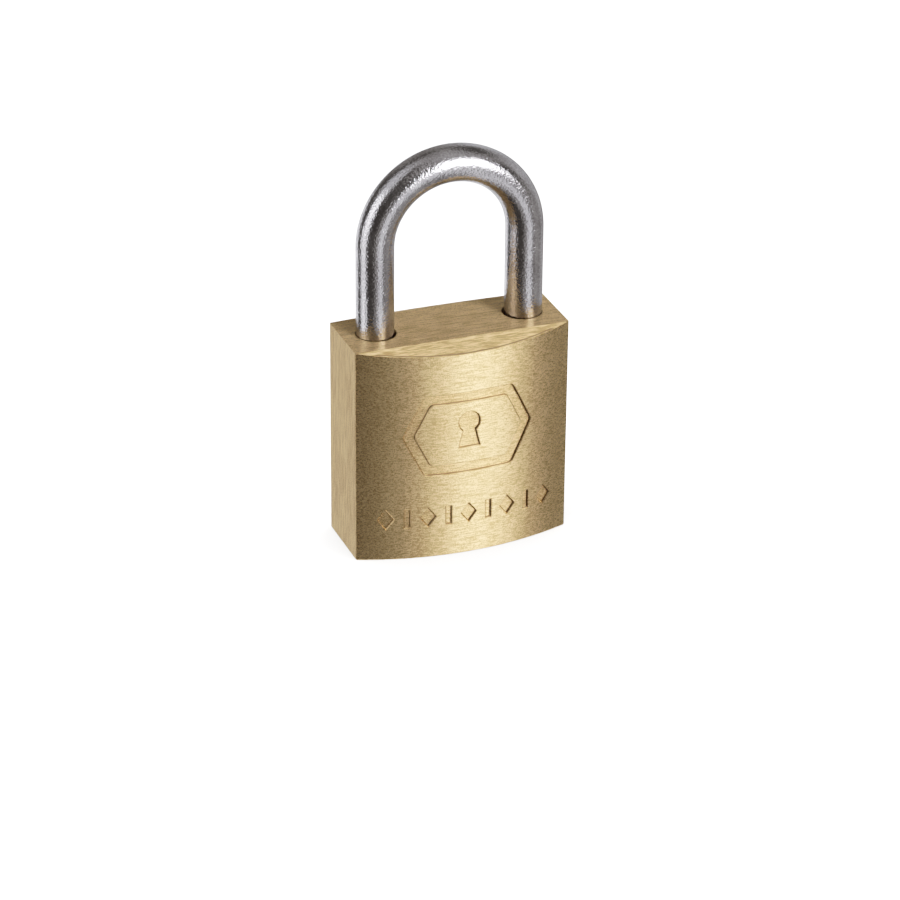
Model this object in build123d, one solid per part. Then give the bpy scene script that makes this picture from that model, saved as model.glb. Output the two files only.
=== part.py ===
from build123d import *
import math
import os

# Padlock with a solid body, a sprung shackle and a four-pin cylinder, in millimetres.
# Origin: centre of the body's flat base. +Z up along the shackle, +X towards the shackle's
# toe leg, -Y out of the engraved front face.
# Rest pose: shackle pushed home, plug turned to its open position by the key, key removed
# from the model but every pin still at the height that the key sets.

# ---- Body ----
BODY_WIDTH = 30.0
BODY_EDGE_DEPTH = 10.2
FACE_BULGE = 2.8
BODY_HEIGHT = 30.5
TOP_BEVEL_SLOPE = 0.40
CORNER_RADIUS = 0.20
BASE_CHAMFER = 0.12

# ---- Engraving on the front face ----
ENGRAVING_DEPTH = 0.35
ENGRAVING_CHAMFER = 0.15
RIM_MARGIN = 1.0
BADGE_CENTRE_Z = 18.0
BADGE_OUTER = (18.0, 11.6)
BADGE_INNER = (15.2, 9.0)
BADGE_CORNER_RADIUS = 0.8
KEYHOLE_HEAD_RADIUS = 1.45
KEYHOLE_SKIRT_HEIGHT = 3.6
KEYHOLE_SKIRT_TOP = 1.1
KEYHOLE_SKIRT_BASE = 2.9
BORDER_Z = 6.0
BORDER_COUNT = 9
BORDER_PITCH = 2.8
BORDER_HEIGHT = 2.6
BORDER_BAR_WIDTH = 0.7
BORDER_LOZENGE_WIDTH = 2.0

# ---- Shackle ----
LEG_OFFSET = 10.45
LEG_RADIUS = 2.55
LEG_HOLE_RADIUS = 2.75
LEG_HOLE_OFFSET = 10.33
ARCH_CENTRE_Z = 42.75
SHACKLE_LIFT = 11.0
TOE_END_Z = 21.1
TOE_END_CHAMFER = 0.6
TOE_HOLE_FLOOR_Z = 20.6
TOE_NOTCH_LOW_Z = 22.95
TOE_NOTCH_HIGH_Z = 27.4
TOE_NOTCH_X = 9.65
HEEL_SHOULDER_Z = 20.35
HEEL_NECK_RADIUS = 1.75
HEEL_COLLAR_HEIGHT = 1.5
HEEL_END_CHAMFER = 0.3
HEEL_HOLE_FLOOR_Z = 2.0
NECK_CHAMFER = 0.35

# ---- Shackle retaining pin ----
SHACKLE_PIN_RADIUS = 0.75
SHACKLE_PIN_X = -7.85
SHACKLE_PIN_Z = 19.5
SHACKLE_PIN_FRONT_Y = -3.4
SHACKLE_PIN_GAP = 0.10

# ---- Cylinder plug ----
PLUG_RADIUS = 5.70
PLUG_BORE_RADIUS = 5.75
PLUG_FACE_Z = 0.6
PLUG_TOP_Z = 18.0
PLUG_BORE_TOP_Z = 18.15
PLUG_RIM_CHAMFER = 0.35
KEYWAY_TOP_Z = 15.0
KEYWAY_NARROW_X = (-2.8, 1.2)
KEYWAY_NARROW_Y = (-0.9, 0.7)
KEYWAY_WIDE_Y = (-1.2, 1.5)
DIMPLE_X = 1.4
DIMPLE_RIM_RADIUS = 3.55
DIMPLE_DEPTH = 3.0
STOP_GROOVE_Z = (15.4, 17.0)
STOP_GROOVE_FLOOR_RADIUS = 4.85
STOP_GROOVE_START = 80.0
STOP_GROOVE_END = 280.0

# ---- Plug retaining pin, which runs in the stop groove ----
PLUG_PIN_RADIUS = 0.75
PLUG_PIN_Z = 16.2
PLUG_PIN_INNER_Y = 4.95

# ---- Drive pin and latch ----
DRIVE_PIN_RADIUS = 0.70
DRIVE_PIN_ECCENTRICITY = 1.1
DRIVE_PIN_LOW_Z = 15.6
DRIVE_PIN_TOP_Z = 25.0
DRIVE_PIN_CHAMFER = 0.15
DRIVE_WELL_RADIUS = 1.9
LATCH_Z = 25.2
LATCH_RADIUS = 1.90
LATCH_CHANNEL_RADIUS = 1.95
LATCH_BACK_X = -4.4
LATCH_TIP_X = 7.2
LATCH_SLOT_WIDTH = 2.0
LATCH_SLOT_TOP_Z = 25.3
LATCH_POCKET_RADIUS = 1.2
LATCH_POCKET_DEPTH = 1.8
LATCH_WEDGE = 1.9
LATCH_CHANNEL_END_X = -6.8
LATCH_PLUG_INNER_X = 13.3

# ---- Pin stacks ----
STACK_Z = (4.6, 7.6, 10.6, 13.6)
KEY_PIN_LENGTHS = (4.2, 3.4, 4.6, 3.8)
CHAMBER_RADIUS = 1.30
PIN_RADIUS = 1.25
KEY_PIN_OUTER_X = -5.58
KEY_PIN_TIP_RADIUS = 0.45
KEY_PIN_TIP_LENGTH = 0.8
KEY_PIN_CHAMBER_END_X = 0.45
DRIVER_INNER_X = 5.78
DRIVER_OUTER_X = 8.9
DRIVER_EDGE_CHAMFER = 0.2
CHAMBER_PLUG_INNER_X = 13.2

# ---- Springs ----
PIN_SPRING_WIRE_RADIUS = 0.15
PIN_SPRING_RADIUS = 0.95
PIN_SPRING_TURNS = 7
PIN_SPRING_X = (8.95, 13.15)
LATCH_SPRING_WIRE_RADIUS = 0.18
LATCH_SPRING_RADIUS = 0.90
LATCH_SPRING_TURNS = 6
LATCH_SPRING_X = (-6.75, -2.65)
SHACKLE_SPRING_WIRE_RADIUS = 0.30
SHACKLE_SPRING_RADIUS = 2.05
SHACKLE_SPRING_TURNS = 4.5
SHACKLE_SPRING_Z = (2.05, 6.1)

# ---- Values worked out from the driving dimensions ----
HALF_WIDTH = BODY_WIDTH / 2
HALF_EDGE = BODY_EDGE_DEPTH / 2
HALF_DEPTH = HALF_EDGE + FACE_BULGE
FACE_RADIUS = (HALF_WIDTH**2 + FACE_BULGE**2) / (2 * FACE_BULGE)
HEEL_COLLAR_TOP_Z = SHACKLE_PIN_Z - SHACKLE_PIN_RADIUS - SHACKLE_PIN_GAP - SHACKLE_LIFT
HEEL_END_Z = HEEL_COLLAR_TOP_Z - HEEL_COLLAR_HEIGHT
OVERRUN = 5.0
PIN_STUB = 1.0


def rod(radius, start, end):
    """A round bar from the point start to the point end."""
    along = Vector(*end) - Vector(*start)
    plane = Plane(origin=start, z_dir=along)
    return extrude(plane * Circle(radius), along.length)


def block(x_range, y_range, z_range):
    """A box that fills the given ranges of X, Y and Z."""
    size = [high - low for low, high in (x_range, y_range, z_range)]
    middle = [(high + low) / 2 for low, high in (x_range, y_range, z_range)]
    return Pos(*middle) * Box(*size)


def coil_spring(start, end, coil_radius, wire_radius, turns):
    """A helical spring whose wire just reaches the points start and end of its axis."""
    along = Vector(*end) - Vector(*start)
    rise = along.length - 2 * wire_radius
    base = Plane(origin=Vector(*start) + along.normalized() * wire_radius, z_dir=along)
    helix = Helix(pitch=rise / turns, height=rise, radius=coil_radius)
    section = Plane(origin=helix @ 0, z_dir=helix % 0) * Circle(wire_radius)
    return base.location * sweep(section, path=helix, is_frenet=True)


def back_face_y(x):
    """The Y of the body's bowed back face at x; the front face is its mirror image."""
    return HALF_DEPTH - FACE_RADIUS + math.sqrt(FACE_RADIUS**2 - x**2)


# ---- Body ----
def body_outline():
    """The plan of the body: two flat sides joined by two shallow arcs."""
    front = ThreePointArc((-HALF_WIDTH, -HALF_EDGE), (0, -HALF_DEPTH), (HALF_WIDTH, -HALF_EDGE))
    right = Line((HALF_WIDTH, -HALF_EDGE), (HALF_WIDTH, HALF_EDGE))
    back = ThreePointArc((HALF_WIDTH, HALF_EDGE), (0, HALF_DEPTH), (-HALF_WIDTH, HALF_EDGE))
    left = Line((-HALF_WIDTH, HALF_EDGE), (-HALF_WIDTH, -HALF_EDGE))
    return make_face([front, right, back, left])


def body_blank():
    """The body before drilling, with softened upright corners and base edge."""
    blank = extrude(body_outline(), BODY_HEIGHT)
    blank = fillet(blank.edges().filter_by(Axis.Z), CORNER_RADIUS)
    blank = chamfer(blank.edges().group_by(Axis.Z)[0], BASE_CHAMFER)
    reach = FACE_BULGE + OVERRUN
    for side in (-1, 1):
        inner = (side * HALF_EDGE, BODY_HEIGHT)
        outer = (side * (HALF_EDGE + reach), BODY_HEIGHT - TOP_BEVEL_SLOPE * reach)
        above = (side * (HALF_EDGE + reach), BODY_HEIGHT + OVERRUN)
        over = (side * HALF_EDGE, BODY_HEIGHT + OVERRUN)
        profile = Plane.YZ * make_face(Polyline(inner, outer, above, over, close=True))
        blank -= extrude(profile, BODY_WIDTH, both=True)
    return blank


def hexagon(width, height):
    """A wide hexagon with softened corners."""
    half_w = width / 2
    half_h = height / 2
    shoulder = half_w - half_h / 2
    corners = [
        (-half_w, 0),
        (-shoulder, half_h),
        (shoulder, half_h),
        (half_w, 0),
        (shoulder, -half_h),
        (-shoulder, -half_h),
    ]
    face = make_face(Polyline(*corners, close=True))
    return fillet(face.vertices(), BADGE_CORNER_RADIUS)


def badge_marks():
    """A hexagonal band around a plain keyhole, in the X-Z plane."""
    band = hexagon(*BADGE_OUTER) - hexagon(*BADGE_INNER)
    head = Pos(0, KEYHOLE_HEAD_RADIUS) * Circle(KEYHOLE_HEAD_RADIUS)
    skirt = make_face(
        Polyline(
            (-KEYHOLE_SKIRT_TOP / 2, KEYHOLE_HEAD_RADIUS),
            (KEYHOLE_SKIRT_TOP / 2, KEYHOLE_HEAD_RADIUS),
            (KEYHOLE_SKIRT_BASE / 2, KEYHOLE_HEAD_RADIUS - KEYHOLE_SKIRT_HEIGHT),
            (-KEYHOLE_SKIRT_BASE / 2, KEYHOLE_HEAD_RADIUS - KEYHOLE_SKIRT_HEIGHT),
            close=True,
        )
    )
    return Pos(0, BADGE_CENTRE_Z) * (band + head + skirt)


def border_marks():
    """A row of lozenges with upright bars between them, in the X-Z plane."""
    marks = Sketch()
    for index in range(BORDER_COUNT):
        x = (index - (BORDER_COUNT - 1) / 2) * BORDER_PITCH
        if index % 2 == 0:
            half_w = BORDER_LOZENGE_WIDTH / 2
            half_h = BORDER_HEIGHT / 2
            points = [(-half_w, 0), (0, half_h), (half_w, 0), (0, -half_h)]
            mark = make_face(Polyline(*points, close=True))
        else:
            mark = Rectangle(BORDER_BAR_WIDTH, BORDER_HEIGHT)
        marks += Pos(x, BORDER_Z) * mark
    return marks


def front_engraving(blank):
    """The shallow recesses in the front face, of even depth under its curve."""
    marks = Plane.XZ * (badge_marks() + border_marks())
    prism = extrude(marks, HALF_DEPTH + OVERRUN)
    return prism - Pos(0, ENGRAVING_DEPTH, 0) * blank


def engraving_rim(body):
    """The edges of the engraving that lie in the front face."""
    rim = ShapeList()
    highest = BODY_HEIGHT - TOP_BEVEL_SLOPE * FACE_BULGE - RIM_MARGIN
    for edge in body.edges():
        middle = edge @ 0.5
        in_face = abs(middle.Y + back_face_y(middle.X)) < ENGRAVING_DEPTH / 10
        inside = abs(middle.X) < HALF_WIDTH - RIM_MARGIN and RIM_MARGIN < middle.Z < highest
        if in_face and inside:
            rim.append(edge)
    return rim


def make_lock_body():
    blank = body_blank()
    body = blank - front_engraving(blank)
    body = chamfer(engraving_rim(body), ENGRAVING_CHAMFER)
    above = BODY_HEIGHT + OVERRUN
    outside = HALF_WIDTH + OVERRUN
    for side, floor_z in ((1, TOE_HOLE_FLOOR_Z), (-1, HEEL_HOLE_FLOOR_Z)):
        x = side * LEG_HOLE_OFFSET
        body -= rod(LEG_HOLE_RADIUS, (x, 0, floor_z), (x, 0, above))
    body -= rod(PLUG_BORE_RADIUS, (0, 0, -OVERRUN), (0, 0, PLUG_BORE_TOP_Z))
    body -= rod(DRIVE_WELL_RADIUS, (0, 0, PLUG_TOP_Z), (0, 0, LATCH_Z))
    body -= rod(LATCH_CHANNEL_RADIUS, (LATCH_CHANNEL_END_X, 0, LATCH_Z), (outside, 0, LATCH_Z))
    for z in STACK_Z:
        body -= rod(CHAMBER_RADIUS, (0, 0, z), (outside, 0, z))
    body -= rod(
        SHACKLE_PIN_RADIUS,
        (SHACKLE_PIN_X, SHACKLE_PIN_FRONT_Y, SHACKLE_PIN_Z),
        (SHACKLE_PIN_X, HALF_DEPTH + OVERRUN, SHACKLE_PIN_Z),
    )
    body -= rod(PLUG_PIN_RADIUS, (0, 0, PLUG_PIN_Z), (0, HALF_DEPTH + OVERRUN, PLUG_PIN_Z))
    return body


# ---- Shackle ----
def toe_leg():
    leg = rod(LEG_RADIUS, (LEG_OFFSET, 0, TOE_END_Z), (LEG_OFFSET, 0, ARCH_CENTRE_Z))
    leg = chamfer(leg.edges().group_by(Axis.Z)[0], TOE_END_CHAMFER)
    notch_x = (LEG_OFFSET - LEG_RADIUS - OVERRUN, TOE_NOTCH_X)
    across = (-LEG_RADIUS - OVERRUN, LEG_RADIUS + OVERRUN)
    return leg - block(notch_x, across, (TOE_NOTCH_LOW_Z, TOE_NOTCH_HIGH_Z))


def heel_leg():
    shaft = rod(LEG_RADIUS, (-LEG_OFFSET, 0, HEEL_SHOULDER_Z), (-LEG_OFFSET, 0, ARCH_CENTRE_Z))
    shaft = chamfer(shaft.edges().group_by(Axis.Z)[0], NECK_CHAMFER)
    neck = rod(HEEL_NECK_RADIUS, (-LEG_OFFSET, 0, HEEL_END_Z), (-LEG_OFFSET, 0, HEEL_SHOULDER_Z))
    collar = rod(LEG_RADIUS, (-LEG_OFFSET, 0, HEEL_END_Z), (-LEG_OFFSET, 0, HEEL_COLLAR_TOP_Z))
    collar = chamfer(collar.edges().group_by(Axis.Z)[0], HEEL_END_CHAMFER)
    return shaft + neck + collar


def make_shackle():
    section = Pos(LEG_OFFSET, 0, ARCH_CENTRE_Z) * Circle(LEG_RADIUS)
    arch = revolve(section, Axis((0, 0, ARCH_CENTRE_Z), (0, -1, 0)), 180)
    return arch + toe_leg() + heel_leg()


def make_shackle_retaining_pin(blank):
    """Pressed in from the back and dressed flush with the back face."""
    end_y = back_face_y(SHACKLE_PIN_X) + PIN_STUB
    pin = rod(
        SHACKLE_PIN_RADIUS,
        (SHACKLE_PIN_X, SHACKLE_PIN_FRONT_Y, SHACKLE_PIN_Z),
        (SHACKLE_PIN_X, end_y, SHACKLE_PIN_Z),
    )
    return pin & blank


# ---- Cylinder plug ----
def stop_groove():
    """The part ring that lets the plug turn half a turn on its retaining pin."""
    low, high = STOP_GROOVE_Z
    sweep_angle = STOP_GROOVE_END - STOP_GROOVE_START
    section = Plane.XZ * make_face(
        Polyline(
            (STOP_GROOVE_FLOOR_RADIUS, low),
            (PLUG_RADIUS + OVERRUN, low),
            (PLUG_RADIUS + OVERRUN, high),
            (STOP_GROOVE_FLOOR_RADIUS, high),
            close=True,
        )
    )
    return revolve(Rot(0, 0, STOP_GROOVE_START) * section, Axis.Z, sweep_angle)


def keyway():
    """A slot that widens on one side and breaks out through the plug's edge."""
    z_range = (PLUG_FACE_Z - OVERRUN, KEYWAY_TOP_Z)
    narrow = block(KEYWAY_NARROW_X, KEYWAY_NARROW_Y, z_range)
    wide = block((KEYWAY_NARROW_X[1], PLUG_RADIUS + OVERRUN), KEYWAY_WIDE_Y, z_range)
    return narrow + wide


def make_cylinder_plug():
    plug = rod(PLUG_RADIUS, (0, 0, PLUG_FACE_Z), (0, 0, PLUG_TOP_Z))
    plug = chamfer(plug.edges().group_by(Axis.Z)[0], PLUG_RIM_CHAMFER)
    dimple = Cone(DIMPLE_RIM_RADIUS, 0, DIMPLE_DEPTH, align=(Align.CENTER, Align.CENTER, Align.MIN))
    plug -= Pos(DIMPLE_X, 0, PLUG_FACE_Z) * dimple
    plug -= keyway()
    plug -= stop_groove()
    for z in STACK_Z:
        plug -= rod(CHAMBER_RADIUS, (KEY_PIN_CHAMBER_END_X, 0, z), (-PLUG_RADIUS - OVERRUN, 0, z))
    pin_x = -DRIVE_PIN_ECCENTRICITY
    plug -= rod(DRIVE_PIN_RADIUS, (pin_x, 0, DRIVE_PIN_LOW_Z), (pin_x, 0, PLUG_TOP_Z + OVERRUN))
    return plug


def make_plug_retaining_pin(blank):
    """Pressed in from the back, with its inner end in the plug's stop groove."""
    end_y = HALF_DEPTH + PIN_STUB
    pin = rod(PLUG_PIN_RADIUS, (0, PLUG_PIN_INNER_Y, PLUG_PIN_Z), (0, end_y, PLUG_PIN_Z))
    return pin & blank


def make_drive_pin():
    pin_x = -DRIVE_PIN_ECCENTRICITY
    pin = rod(DRIVE_PIN_RADIUS, (pin_x, 0, DRIVE_PIN_LOW_Z), (pin_x, 0, DRIVE_PIN_TOP_Z))
    return chamfer(pin.edges().group_by(Axis.Z)[-1], DRIVE_PIN_CHAMFER)


# ---- Pin stacks ----
def make_key_pin(z, length):
    """A round pin with a blunt conical tip that rides on the key."""
    shoulder_x = KEY_PIN_OUTER_X + length - KEY_PIN_TIP_LENGTH
    shank = rod(PIN_RADIUS, (KEY_PIN_OUTER_X, 0, z), (shoulder_x, 0, z))
    tip = Cone(PIN_RADIUS, KEY_PIN_TIP_RADIUS, KEY_PIN_TIP_LENGTH)
    return shank + Pos(shoulder_x + KEY_PIN_TIP_LENGTH / 2, 0, z) * Rot(0, 90, 0) * tip


def make_driver_pin(z):
    pin = rod(PIN_RADIUS, (DRIVER_INNER_X, 0, z), (DRIVER_OUTER_X, 0, z))
    return chamfer(pin.edges().filter_by(GeomType.CIRCLE), DRIVER_EDGE_CHAMFER)


def make_pin_spring(z):
    low, high = PIN_SPRING_X
    ends = ((low, 0, z), (high, 0, z))
    return coil_spring(*ends, PIN_SPRING_RADIUS, PIN_SPRING_WIRE_RADIUS, PIN_SPRING_TURNS)


def make_chamber_plug(z):
    return rod(CHAMBER_RADIUS, (CHAMBER_PLUG_INNER_X, 0, z), (HALF_WIDTH, 0, z))


# ---- Latch ----
def make_latch():
    """A sliding bolt with a cross slot for the drive pin and a wedge on its tip."""
    latch = rod(LATCH_RADIUS, (LATCH_BACK_X, 0, LATCH_Z), (LATCH_TIP_X, 0, LATCH_Z))
    slot_x = (
        -DRIVE_PIN_ECCENTRICITY - LATCH_SLOT_WIDTH / 2,
        -DRIVE_PIN_ECCENTRICITY + LATCH_SLOT_WIDTH / 2,
    )
    across = (-LATCH_RADIUS - OVERRUN, LATCH_RADIUS + OVERRUN)
    latch -= block(slot_x, across, (LATCH_Z - LATCH_RADIUS - OVERRUN, LATCH_SLOT_TOP_Z))
    pocket_end = LATCH_BACK_X + LATCH_POCKET_DEPTH
    latch -= rod(LATCH_POCKET_RADIUS, (LATCH_BACK_X - OVERRUN, 0, LATCH_Z), (pocket_end, 0, LATCH_Z))
    top_z = LATCH_Z + LATCH_RADIUS
    wedge = make_face(
        Polyline(
            (LATCH_TIP_X, top_z - LATCH_WEDGE),
            (LATCH_TIP_X + OVERRUN, top_z - LATCH_WEDGE - OVERRUN),
            (LATCH_TIP_X + OVERRUN, top_z + OVERRUN),
            (LATCH_TIP_X - LATCH_WEDGE - OVERRUN, top_z + OVERRUN),
            close=True,
        )
    )
    return latch - extrude(Plane.XZ * wedge, 2 * OVERRUN, both=True)


def make_latch_spring():
    low, high = LATCH_SPRING_X
    ends = ((low, 0, LATCH_Z), (high, 0, LATCH_Z))
    return coil_spring(*ends, LATCH_SPRING_RADIUS, LATCH_SPRING_WIRE_RADIUS, LATCH_SPRING_TURNS)


def make_latch_bore_plug():
    return rod(LATCH_CHANNEL_RADIUS, (LATCH_PLUG_INNER_X, 0, LATCH_Z), (HALF_WIDTH, 0, LATCH_Z))


def make_shackle_spring():
    low, high = SHACKLE_SPRING_Z
    ends = ((-LEG_OFFSET, 0, low), (-LEG_OFFSET, 0, high))
    return coil_spring(*ends, SHACKLE_SPRING_RADIUS, SHACKLE_SPRING_WIRE_RADIUS, SHACKLE_SPRING_TURNS)


# ---- Every piece under its node's name ----
blank_body = body_blank()
pieces = {
    "lock_body": make_lock_body(),
    "shackle": make_shackle(),
    "shackle_spring": make_shackle_spring(),
    "shackle_retaining_pin": make_shackle_retaining_pin(blank_body),
    "cylinder_plug": make_cylinder_plug(),
    "plug_retaining_pin": make_plug_retaining_pin(blank_body),
    "drive_pin": make_drive_pin(),
    "latch": make_latch(),
    "latch_spring": make_latch_spring(),
    "latch_bore_plug": make_latch_bore_plug(),
}
for number, (stack_z, pin_length) in enumerate(zip(STACK_Z, KEY_PIN_LENGTHS), start=1):
    pieces[f"key_pin_{number}"] = make_key_pin(stack_z, pin_length)
    pieces[f"driver_pin_{number}"] = make_driver_pin(stack_z)
    pieces[f"pin_spring_{number}"] = make_pin_spring(stack_z)
    pieces[f"chamber_plug_{number}"] = make_chamber_plug(stack_z)

os.makedirs("parts", exist_ok=True)
for node, piece in pieces.items():
    piece.label = node
    export_step(piece, f"parts/{node}.step")
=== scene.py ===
import bpy
import math
from mathutils import Matrix, Vector


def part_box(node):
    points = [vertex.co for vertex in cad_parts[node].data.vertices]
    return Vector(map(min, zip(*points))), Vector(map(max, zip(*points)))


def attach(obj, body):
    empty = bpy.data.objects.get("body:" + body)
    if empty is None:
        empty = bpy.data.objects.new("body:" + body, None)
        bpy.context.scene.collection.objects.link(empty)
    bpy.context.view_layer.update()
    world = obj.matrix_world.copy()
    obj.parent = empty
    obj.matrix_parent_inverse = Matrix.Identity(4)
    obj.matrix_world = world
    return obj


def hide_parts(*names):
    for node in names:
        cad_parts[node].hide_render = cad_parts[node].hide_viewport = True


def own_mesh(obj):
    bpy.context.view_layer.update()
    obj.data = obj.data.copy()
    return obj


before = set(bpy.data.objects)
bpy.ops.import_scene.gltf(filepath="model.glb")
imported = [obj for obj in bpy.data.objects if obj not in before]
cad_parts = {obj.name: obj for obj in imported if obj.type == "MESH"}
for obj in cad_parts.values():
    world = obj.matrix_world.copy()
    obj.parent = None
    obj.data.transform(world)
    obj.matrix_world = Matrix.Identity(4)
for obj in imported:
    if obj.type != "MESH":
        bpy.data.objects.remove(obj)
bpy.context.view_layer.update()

# A brass padlock on a pale floor. Lengths are metres unless a name says otherwise, angles are
# degrees. Azimuth 0 looks from the front (-Y) and grows towards +X.
MM = 0.001
# The part's own sizes that the finish follows: how far the front bows out, a Y that divides the
# engraving from the bores behind it, how deep the engraving's walls reach and where they count as
# sunk, and the middle of the dimple in the key face.
FACE_BULGE = 2.8 * MM
ENGRAVING_INNER_Y = 5.8 * MM
ENGRAVING_WALL_DEPTH = 0.32 * MM
ENGRAVING_EDGE_DEPTH = 0.1 * MM
KEY_FACE_DIMPLE_X = 1.4 * MM
PIN_STACKS = 4
# Sizes of a normal's X or Z on the body's sides, on level or sloping faces and on level faces only.
SIDE_NORMAL = 0.7
RISING_NORMAL = 0.6
LEVEL_NORMAL = 0.97

# ---- Camera ----
CAMERA_LENS = 147.3
CAMERA_SENSOR = 36.0
CAMERA_AIM_HEIGHT = 20.0 * MM
CAMERA_DISTANCE = 491.5 * MM
CAMERA_AZIMUTH = -20.94
CAMERA_ELEVATION = 26.05
CAMERA_YAW_TRIM = -0.03
CAMERA_PITCH_TRIM = 0.884
CAMERA_ROLL = 0.524
CAMERA_NEAREST = 0.01
CAMERA_FURTHEST = 20.0

# ---- Studio ----
FLOOR_HALF_SIZE = 4.0
FLOOR_COLOUR = (0.86, 0.86, 0.855, 1.0)
FLOOR_ROUGHNESS = 0.9
FLOOR_SPECULAR = 0.1
FLOOR_LIGHT_HEIGHT = 1.2
FLOOR_LIGHT_SIZE = 2.4
FLOOR_LIGHT_RADIANCE = 6.5
# each pale panel's azimuth, elevation, half width, half height, softness and radiance
PANELS = {
    "key": (25.0, 14.5, 11.0, 15.5, 7.0, 11.6),
    "key_low": (15.0, -45.0, 13.0, 45.0, 7.0, 0.75),
    "key_wide": (0.0, -45.0, 18.0, 45.0, 10.0, 0.28),
    "left": (-88.0, 14.0, 14.0, 14.0, 7.0, 3.2),
    "left_low": (-92.0, -45.0, 15.0, 45.0, 7.0, 1.65),
    "side_low": (-157.0, -45.0, 13.0, 45.0, 8.0, 1.55),
    "right_low": (60.0, -45.0, 18.0, 45.0, 10.0, 0.28),
    "back_right_low": (115.0, -45.0, 26.0, 45.0, 12.0, 0.4),
    "back_right": (115.0, 16.0, 40.0, 18.0, 12.0, 0.48),
    "back_low": (166.0, -45.0, 14.0, 45.0, 8.0, 1.2),
    "back": (170.0, 30.0, 35.0, 20.0, 12.0, 0.2),
    "front_high": (25.0, 50.0, 45.0, 20.0, 12.0, 0.35),
    "left_high": (-90.0, 48.0, 30.0, 20.0, 12.0, 0.68),
    "top": (0.0, 90.0, 180.0, 25.0, 10.0, 0.30),
}
DIM_RADIANCE = 0.056
PALE_RADIANCE = 0.64
DIM_COLOUR = (1.04, 0.96, 0.88, 1.0)
PALE_COLOUR = (0.98, 1.0, 1.05, 1.0)
# the radiance shown as pure white, and the shares of white that some lower radiances show as
FILM_WHITE = 2.4
FILM_CURVE = [(0.25, 0.245), (0.65, 0.535), (1.3, 0.80)]

# ---- Metals: linear colours ----
BRASS_DARK = (0.57, 0.370, 0.155, 1.0)
BRASS_LIGHT = (1.0, 0.72, 0.36, 1.0)
# painted shade: the dark brown laid on the engraving's walls to draw their outlines
BRASS_PAINTED_SHADE = (0.26, 0.165, 0.075, 1.0)
STOPPER_DARK = (0.62, 0.42, 0.19, 1.0)
STOPPER_LIGHT = (1.0, 0.75, 0.40, 1.0)
PLUG_DARK = (0.62, 0.48, 0.27, 1.0)
PLUG_LIGHT = (0.90, 0.76, 0.50, 1.0)
STEEL_DARK = (0.46, 0.43, 0.44, 1.0)
STEEL_LIGHT = (0.76, 0.735, 0.745, 1.0)
WIRE_DARK = (0.36, 0.35, 0.35, 1.0)
WIRE_LIGHT = (0.58, 0.57, 0.57, 1.0)

# ---- Metals: surface ----
# each pattern's feature lengths along X, Y and Z in mm, its detail and an offset of its own
PATTERNS = {
    "brush_along_x": ((2.6, 0.13, 0.13), 2.0, 0.0),
    "brush_upright": ((0.13, 0.13, 2.6), 2.0, 5.0),
    "bevel_scratches": ((2.0, 0.20, 0.20), 3.0, 9.0),
    "brass_speckle": ((0.15, 0.15, 0.15), 1.0, 3.0),
    "brass_cloud": ((6.0, 6.0, 6.0), 2.0, 7.0),
    "lathe_rings": ((0.16, 1.0, 0.16), 2.0, 0.0),
    "plug_pits": ((0.30, 0.30, 0.30), 3.0, 4.0),
    "plug_cloud": ((2.5, 2.5, 2.5), 3.0, 8.0),
    "steel_pebble": ((0.26, 0.26, 0.26), 1.5, 0.0),
    "steel_ripple": ((1.4, 1.4, 1.4), 2.0, 6.0),
    "steel_cloud": ((5.0, 5.0, 5.0), 2.0, 2.0),
    "small_cloud": ((1.5, 1.5, 1.5), 2.0, 3.0),
    "pin_marks": ((0.12, 0.6, 0.6), 2.0, 0.0),
    "back_marks": ((1.6, 0.12, 0.12), 2.0, 0.0),
    "ground_marks": ((0.5, 0.5, 0.1), 2.0, 0.0),
    "wire_marks": ((0.3, 0.3, 0.3), 2.0, 0.0),
    "side_marks": ((0.12, 0.12, 2.2), 2.0, 0.0),
}
PATTERN_ROUGHNESS = 0.6
# the part of a pattern's values that most of the surface has, which roughness is spread over
PATTERN_SPAN = (0.3, 0.7)
BRUSHED_ANISOTROPY = 0.9

# A tone span is the range of a mixed pattern that runs from the dark to the light colour. A bump is
# the height in mm that a pattern's whole range stands for.
BODY_TONE_SPAN = (0.43, 0.57)
BODY_STREAK_SHARE = 0.50
BEVEL_STREAK_SHARE = 0.75
BODY_CLOUD_SHARE = 0.10
# the share of painted shade laid on the engraving's walls
BODY_PAINTED_SHADE_SHARE = 0.75
BODY_ROUGHNESS = (0.36, 0.46)
BODY_EXTRA_ROUGHNESS = 0.14
BODY_BUMP = 0.008
BODY_STREAK_BUMP_SHARE = 0.8
BEVEL_STREAK_BUMP_SHARE = 2.0
SUNK_SPECKLE_BUMP_SHARE = 2.2
PLUG_TONE_SPAN = (0.36, 0.64)
PLUG_RING_SHARE = 0.45
PLUG_PIT_SHARE = 0.25
PLUG_CLOUD_SHARE = 0.30
PLUG_ROUGHNESS = (0.26, 0.44)
PLUG_BUMP = 0.010
PLUG_PIT_BUMP_SHARE = 0.6
STEEL_TONE_SPAN = (0.35, 0.65)
STEEL_PEBBLE_SHARE = 0.5
STEEL_CLOUD_SHARE = 0.5
STEEL_ROUGHNESS = (0.12, 0.19)
STEEL_BUMP = 0.052
STEEL_RIPPLE_BUMP_SHARE = 0.35
SMALL_TONE_SPAN = (0.36, 0.64)
SMALL_MARK_SHARE = 0.6
SMALL_CLOUD_SHARE = 0.4
SMALL_BUMP = 0.008


# ---- Node helpers ----
def add(tree, kind, inputs=None, **settings):
    """A new node with its settings, and its inputs linked or set by name or number."""
    made = tree.nodes.new(kind)
    for name, value in settings.items():
        setattr(made, name, value)
    for name, value in (inputs or {}).items():
        if isinstance(value, bpy.types.NodeSocket):
            tree.links.new(value, made.inputs[name])
        else:
            made.inputs[name].default_value = value
    return made


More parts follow.
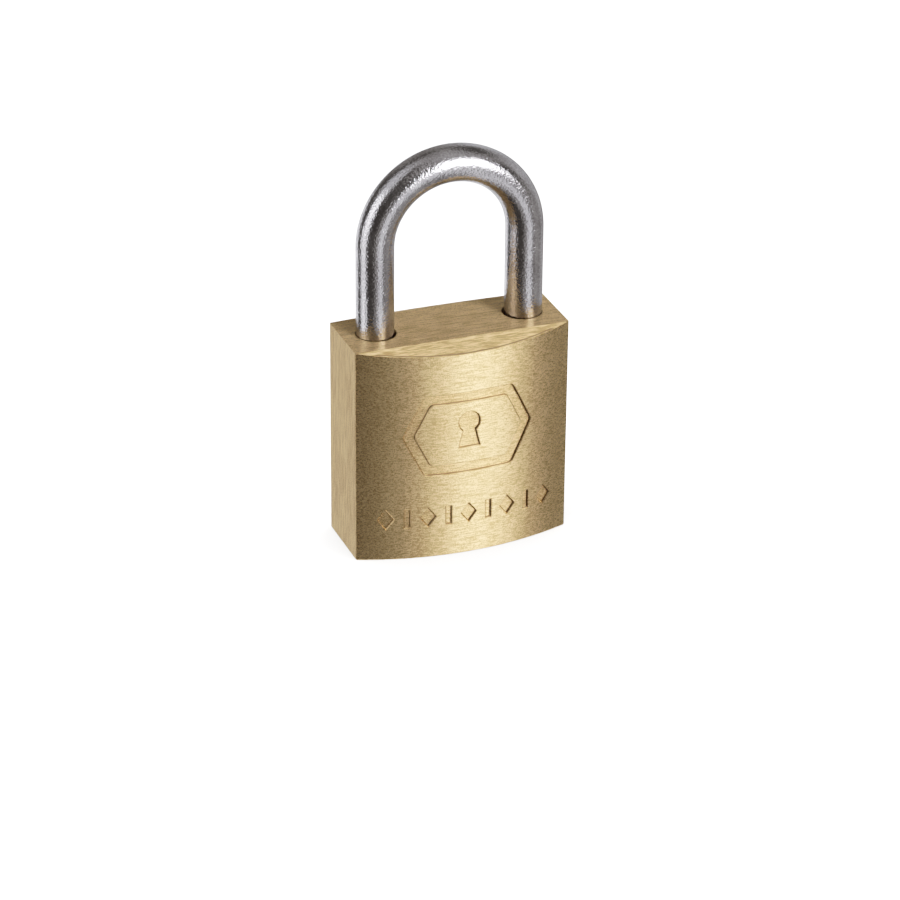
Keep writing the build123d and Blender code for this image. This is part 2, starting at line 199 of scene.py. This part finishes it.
def calc(tree, operation, first, second=0.0):
    return add(tree, "ShaderNodeMath", {0: first, 1: second}, operation=operation).outputs[0]


def remap(tree, value, low, high, new_low, new_high, smooth=False):
    kind = "SMOOTHSTEP" if smooth else "LINEAR"
    inputs = {"Value": value, "From Min": low, "From Max": high, "To Min": new_low, "To Max": new_high}
    return add(tree, "ShaderNodeMapRange", inputs, interpolation_type=kind).outputs["Result"]


def choose(tree, factor, first, second):
    """A number that goes from first to second as factor goes from 0 to 1."""
    inputs = {0: factor, 2: first, 3: second}
    return add(tree, "ShaderNodeMix", inputs, data_type="FLOAT").outputs[0]


def blend_colours(tree, factor, first, second):
    """A colour that goes from first to second as factor goes from 0 to 1."""
    inputs = {0: factor, 6: first, 7: second}
    return add(tree, "ShaderNodeMix", inputs, data_type="RGBA").outputs[2]


def weighted(tree, *pairs):
    """The sum of each value times its weight."""
    total = 0.0
    for value, weight in pairs:
        total = calc(tree, "ADD", calc(tree, "MULTIPLY", value, weight), total)
    return total


def pattern(tree, place, name):
    """The noise pattern of that name."""
    lengths, detail, offset = PATTERNS[name]
    scale = [1.0 / (length * MM) for length in lengths]
    shift = (offset, offset * 0.7, offset * 1.3)
    mapping = add(tree, "ShaderNodeMapping", {"Vector": place, "Scale": scale, "Location": shift})
    inputs = {"Vector": mapping.outputs[0], "Scale": 1.0, "Detail": detail}
    inputs["Roughness"] = PATTERN_ROUGHNESS
    return add(tree, "ShaderNodeTexNoise", inputs).outputs[0]


def new_metal(name):
    """An empty metal material, its tree and shader, and the coordinates that place its patterns."""
    material = bpy.data.materials.new(name)
    material.use_nodes = True
    tree = material.node_tree
    shader = tree.nodes["Principled BSDF"]
    shader.inputs["Metallic"].default_value = 1.0
    return material, tree, shader, add(tree, "ShaderNodeTexCoord").outputs


def toned(tree, tone, span, dark, light):
    """Dark at the low end of the span of tone and light at its high end."""
    return blend_colours(tree, remap(tree, tone, *span, 0.0, 1.0), dark, light)


def spread_roughness(tree, value, roughness):
    return remap(tree, value, *PATTERN_SPAN, *roughness)


def set_bump(tree, shader, height, depth_mm):
    bump = add(tree, "ShaderNodeBump", {"Height": height, "Distance": depth_mm * MM})
    tree.links.new(bump.outputs[0], shader.inputs["Normal"])


def set_brushed(tree, shader, tangent):
    """Stretches highlights along the tangent, across the brush lines."""
    shader.inputs["Anisotropic"].default_value = BRUSHED_ANISOTROPY
    along = add(tree, "ShaderNodeCombineXYZ", tangent).outputs[0]
    tree.links.new(along, shader.inputs["Tangent"])


# ---- Materials ----
def front_engraving(tree, place):
    """Two masks: 1 on the floors and walls of the front engraving, and 1 on its walls alone."""
    low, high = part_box("lock_body")
    half_width = (high.x - low.x) / 2
    radius = (half_width**2 + FACE_BULGE**2) / (2 * FACE_BULGE)
    position = add(tree, "ShaderNodeSeparateXYZ", {0: place}).outputs
    from_axis = calc(tree, "SUBTRACT", position[1], low.y + radius)
    reach = add(tree, "ShaderNodeCombineXYZ", {0: position[0], 1: from_axis}).outputs[0]
    length = add(tree, "ShaderNodeVectorMath", {0: reach}, operation="LENGTH").outputs["Value"]
    sunk = calc(tree, "LESS_THAN", length, radius - ENGRAVING_EDGE_DEPTH)
    outside_bores = calc(tree, "LESS_THAN", position[1], -ENGRAVING_INNER_Y)
    sunk = calc(tree, "MULTIPLY", sunk, outside_bores)
    above_floor = calc(tree, "GREATER_THAN", length, radius - ENGRAVING_WALL_DEPTH)
    return sunk, calc(tree, "MULTIPLY", sunk, above_floor)


def brushed_body_brass():
    """Satin brass: brushed along X, upright on the sides, coarse on the top bevels; painted shade on
    the engraving's walls.
    """
    material, tree, shader, coords = new_metal("brushed_body_brass")
    place = coords["Object"]
    facing = add(tree, "ShaderNodeSeparateXYZ", {0: coords["Normal"]}).outputs
    side = calc(tree, "GREATER_THAN", calc(tree, "ABSOLUTE", facing[0]), SIDE_NORMAL)
    upward = calc(tree, "ABSOLUTE", facing[2])
    rising = calc(tree, "GREATER_THAN", upward, RISING_NORMAL)
    bevel = calc(tree, "MULTIPLY", rising, calc(tree, "LESS_THAN", upward, LEVEL_NORMAL))
    sunk, wall = front_engraving(tree, place)
    along_x = pattern(tree, place, "brush_along_x")
    brushed = choose(tree, side, along_x, pattern(tree, place, "brush_upright"))
    streaks = choose(tree, bevel, brushed, pattern(tree, place, "bevel_scratches"))
    speckle = pattern(tree, place, "brass_speckle")
    cloud = pattern(tree, place, "brass_cloud")

    streak_share = choose(tree, bevel, BODY_STREAK_SHARE, BEVEL_STREAK_SHARE)
    speckle_share = calc(tree, "SUBTRACT", 1.0 - BODY_CLOUD_SHARE, streak_share)
    mixed = ((streaks, streak_share), (speckle, speckle_share), (cloud, BODY_CLOUD_SHARE))
    clean = toned(tree, weighted(tree, *mixed), BODY_TONE_SPAN, BRASS_DARK, BRASS_LIGHT)
    # Painted shade: the engraving's walls are darkened, as shade in the recess would darken them.
    painted_shade = calc(tree, "MULTIPLY", wall, BODY_PAINTED_SHADE_SHARE)
    colour = blend_colours(tree, painted_shade, clean, BRASS_PAINTED_SHADE)
    tree.links.new(colour, shader.inputs["Base Color"])

    rougher = calc(tree, "MULTIPLY", calc(tree, "MAXIMUM", bevel, sunk), BODY_EXTRA_ROUGHNESS)
    roughness = calc(tree, "ADD", spread_roughness(tree, speckle, BODY_ROUGHNESS), rougher)
    tree.links.new(roughness, shader.inputs["Roughness"])
    across = calc(tree, "MAXIMUM", side, rising)
    set_brushed(tree, shader, {1: across, 2: calc(tree, "SUBTRACT", 1.0, across)})

    streak_bump = choose(tree, bevel, BODY_STREAK_BUMP_SHARE, BEVEL_STREAK_BUMP_SHARE)
    speckle_bump = choose(tree, sunk, 1.0, SUNK_SPECKLE_BUMP_SHARE)
    height = weighted(tree, (streaks, streak_bump), (speckle, speckle_bump))
    set_bump(tree, shader, height, BODY_BUMP)
    return material


def turned_plug_brass():
    """Pale brass with rings left by the lathe, centred on the key face's dimple."""
    material, tree, shader, coords = new_metal("turned_plug_brass")
    place = coords["Object"]
    position = add(tree, "ShaderNodeSeparateXYZ", {0: place}).outputs
    from_dimple = calc(tree, "SUBTRACT", position[0], KEY_FACE_DIMPLE_X)
    square = weighted(tree, (from_dimple, from_dimple), (position[1], position[1]))
    radius = calc(tree, "SQRT", square)
    ring_place = add(tree, "ShaderNodeCombineXYZ", {0: radius, 2: position[2]}).outputs[0]
    rings = pattern(tree, ring_place, "lathe_rings")
    pits = pattern(tree, place, "plug_pits")
    cloud = pattern(tree, place, "plug_cloud")
    mixed = ((rings, PLUG_RING_SHARE), (pits, PLUG_PIT_SHARE), (cloud, PLUG_CLOUD_SHARE))
    colour = toned(tree, weighted(tree, *mixed), PLUG_TONE_SPAN, PLUG_DARK, PLUG_LIGHT)
    tree.links.new(colour, shader.inputs["Base Color"])
    tree.links.new(spread_roughness(tree, pits, PLUG_ROUGHNESS), shader.inputs["Roughness"])
    height = weighted(tree, (rings, 1.0), (pits, PLUG_PIT_BUMP_SHARE))
    set_bump(tree, shader, height, PLUG_BUMP)
    return material


def plated_shackle_steel():
    """Bright plating over drawn bar, with a faint pebbled surface."""
    material, tree, shader, coords = new_metal("plated_shackle_steel")
    place = coords["Object"]
    pebble = pattern(tree, place, "steel_pebble")
    ripple = pattern(tree, place, "steel_ripple")
    cloud = pattern(tree, place, "steel_cloud")
    tone = weighted(tree, (pebble, STEEL_PEBBLE_SHARE), (cloud, STEEL_CLOUD_SHARE))
    colour = toned(tree, tone, STEEL_TONE_SPAN, STEEL_DARK, STEEL_LIGHT)
    tree.links.new(colour, shader.inputs["Base Color"])
    tree.links.new(spread_roughness(tree, cloud, STEEL_ROUGHNESS), shader.inputs["Roughness"])
    height = weighted(tree, (pebble, 1.0), (ripple, STEEL_RIPPLE_BUMP_SHARE))
    set_bump(tree, shader, height, STEEL_BUMP)
    return material


def small_metal(name, dark, light, marks_name, roughness, stretch_along=None):
    """Metal of a small turned, ground or drawn piece, with its tool marks.

    A piece dressed flush with the body stretches its highlight along one axis, as the body does.
    """
    material, tree, shader, coords = new_metal(name)
    marks = pattern(tree, coords["Object"], marks_name)
    cloud = pattern(tree, coords["Object"], "small_cloud")
    tone = weighted(tree, (marks, SMALL_MARK_SHARE), (cloud, SMALL_CLOUD_SHARE))
    colour = toned(tree, tone, SMALL_TONE_SPAN, dark, light)
    tree.links.new(colour, shader.inputs["Base Color"])
    tree.links.new(spread_roughness(tree, marks, roughness), shader.inputs["Roughness"])
    set_bump(tree, shader, marks, SMALL_BUMP)
    if stretch_along:
        set_brushed(tree, shader, {stretch_along: 1.0})
    return material


def dress_nodes():
    """Gives every CAD node its material."""
    body = brushed_body_brass()
    plug = turned_plug_brass()
    shackle = plated_shackle_steel()
    flush = (STOPPER_DARK, STOPPER_LIGHT)
    pin = small_metal("turned_pin_brass", BRASS_DARK, BRASS_LIGHT, "pin_marks", (0.24, 0.38))
    cross_pin = small_metal("cross_pin_brass", *flush, "back_marks", (0.34, 0.44), "Z")
    steel = small_metal("ground_pin_steel", WIRE_DARK, STEEL_LIGHT, "ground_marks", (0.20, 0.34))
    wire = small_metal("spring_wire", WIRE_DARK, WIRE_LIGHT, "wire_marks", (0.22, 0.36))
    stopper = small_metal("stopper_brass", *flush, "side_marks", (0.34, 0.44), "Y")
    by_start = {
        "lock_body": body,
        "shackle_spring": wire,
        "shackle_retaining_pin": cross_pin,
        "shackle": shackle,
        "cylinder_plug": plug,
        "plug_retaining_pin": cross_pin,
        "drive_pin": steel,
        "latch_spring": wire,
        "latch_bore_plug": stopper,
        "latch": pin,
        "key_pin": pin,
        "driver_pin": pin,
        "pin_spring": wire,
        "chamber_plug": stopper,
    }
    for name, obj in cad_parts.items():
        material = next(m for start, m in by_start.items() if name.startswith(start))
        obj.data.materials.clear()
        obj.data.materials.append(material)


def make_pin_coils():
    """The pin springs again, as copies with meshes of their own carried by the lock body, while the
    CAD springs are hidden.
    """
    for number in range(1, PIN_STACKS + 1):
        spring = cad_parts[f"pin_spring_{number}"]
        coil = bpy.data.objects.new(f"pin_coil_{number}", spring.data.copy())
        bpy.context.scene.collection.objects.link(coil)
        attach(coil, "lock_body")
        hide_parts(spring.name)
        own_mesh(coil)


# ---- Studio ----
def direction(azimuth, elevation):
    """The unit vector from the object towards that azimuth and elevation."""
    az = math.radians(azimuth)
    el = math.radians(elevation)
    return Vector((math.sin(az) * math.cos(el), -math.cos(az) * math.cos(el), math.sin(el)))


def make_floor_light():
    """A wide soft light that whitens the floor and isn't mirrored in the metal."""
    light = bpy.data.lights.new("floor_wash", "AREA")
    light.shape = "SQUARE"
    light.size = FLOOR_LIGHT_SIZE
    light.energy = FLOOR_LIGHT_RADIANCE * math.pi * FLOOR_LIGHT_SIZE**2
    wash = bpy.data.objects.new("floor_wash", light)
    bpy.context.scene.collection.objects.link(wash)
    wash.matrix_world = Matrix.Translation((0, 0, FLOOR_LIGHT_HEIGHT))
    wash.visible_glossy = False


def panel_light(tree, level, rise, panel):
    """What one panel adds, by a ray's horizontal direction and the sine of its elevation."""
    azimuth, elevation, half_width, half_height, softness, radiance = panel
    middle_line = direction(azimuth, 0.0)
    along = add(tree, "ShaderNodeVectorMath", {0: level, 1: middle_line}, operation="DOT_PRODUCT")
    edge = math.cos(math.radians(min(half_width + softness, 180.0)))
    full = math.cos(math.radians(max(half_width - softness, 0.0)))
    lit = remap(tree, along.outputs["Value"], edge, full, 0.0, radiance, smooth=True)
    for side in (-1, 1):
        middle = elevation + side * half_height
        if abs(middle) >= 90.0:
            continue
        outer = math.sin(math.radians(middle + side * softness))
        inner = math.sin(math.radians(middle - side * softness))
        lit = calc(tree, "MULTIPLY", lit, remap(tree, rise, outer, inner, 0.0, 1.0, smooth=True))
    return lit


def make_surroundings():
    """A dim room with pale soft-edged panels, which the metal mirrors as bands."""
    world = bpy.data.worlds.new("studio_room")
    bpy.context.scene.world = world
    world.use_nodes = True
    tree = world.node_tree
    tree.nodes.clear()
    toward = add(tree, "ShaderNodeTexCoord").outputs["Generated"]
    parts = add(tree, "ShaderNodeSeparateXYZ", {0: toward}).outputs
    flat = add(tree, "ShaderNodeCombineXYZ", {0: parts[0], 1: parts[1]}).outputs[0]
    level = add(tree, "ShaderNodeVectorMath", {0: flat}, operation="NORMALIZE").outputs[0]
    total = DIM_RADIANCE
    for panel in PANELS.values():
        total = calc(tree, "ADD", total, panel_light(tree, level, parts[2], panel))
    paleness = remap(tree, total, DIM_RADIANCE, PALE_RADIANCE, 0.0, 1.0)
    colour = blend_colours(tree, paleness, DIM_COLOUR, PALE_COLOUR)
    background = add(tree, "ShaderNodeBackground", {"Color": colour, "Strength": total})
    output = add(tree, "ShaderNodeOutputWorld")
    tree.links.new(background.outputs[0], output.inputs[0])


def make_floor():
    size = FLOOR_HALF_SIZE
    mesh = bpy.data.meshes.new("floor")
    corners = [(-size, -size, 0), (size, -size, 0), (size, size, 0), (-size, size, 0)]
    mesh.from_pydata(corners, [], [(0, 1, 2, 3)])
    floor = bpy.data.objects.new("floor", mesh)
    bpy.context.scene.collection.objects.link(floor)
    material = bpy.data.materials.new("pale_floor")
    material.use_nodes = True
    shader = material.node_tree.nodes["Principled BSDF"]
    shader.inputs["Base Color"].default_value = FLOOR_COLOUR
    shader.inputs["Roughness"].default_value = FLOOR_ROUGHNESS
    shader.inputs["Specular IOR Level"].default_value = FLOOR_SPECULAR
    mesh.materials.append(material)
    floor.visible_glossy = False


def make_camera():
    data = bpy.data.cameras.new("camera")
    data.lens = CAMERA_LENS
    data.sensor_width = CAMERA_SENSOR
    data.clip_start = CAMERA_NEAREST
    data.clip_end = CAMERA_FURTHEST
    camera = bpy.data.objects.new("camera", data)
    bpy.context.scene.collection.objects.link(camera)
    aim = Vector((0, 0, CAMERA_AIM_HEIGHT))
    place = aim + direction(CAMERA_AZIMUTH, CAMERA_ELEVATION) * CAMERA_DISTANCE
    yaw = Matrix.Rotation(math.radians(CAMERA_AZIMUTH + CAMERA_YAW_TRIM), 4, "Z")
    pitch = Matrix.Rotation(math.radians(90.0 - CAMERA_ELEVATION - CAMERA_PITCH_TRIM), 4, "X")
    roll = Matrix.Rotation(math.radians(CAMERA_ROLL), 4, "Z")
    camera.matrix_world = Matrix.Translation(place) @ yaw @ pitch @ roll
    bpy.context.scene.camera = camera


def make_film():
    """Plain display colours, with highlights that roll off softly, as on film."""
    view = bpy.context.scene.view_settings
    view.view_transform = "Standard"
    view.use_curve_mapping = True
    mapping = view.curve_mapping
    mapping.white_level = (FILM_WHITE, FILM_WHITE, FILM_WHITE)
    points = mapping.curves[3].points
    for given, shown in FILM_CURVE:
        points.new(given / FILM_WHITE, shown)
    mapping.update()


make_camera()
make_surroundings()
make_floor_light()
make_floor()
make_film()
dress_nodes()
make_pin_coils()
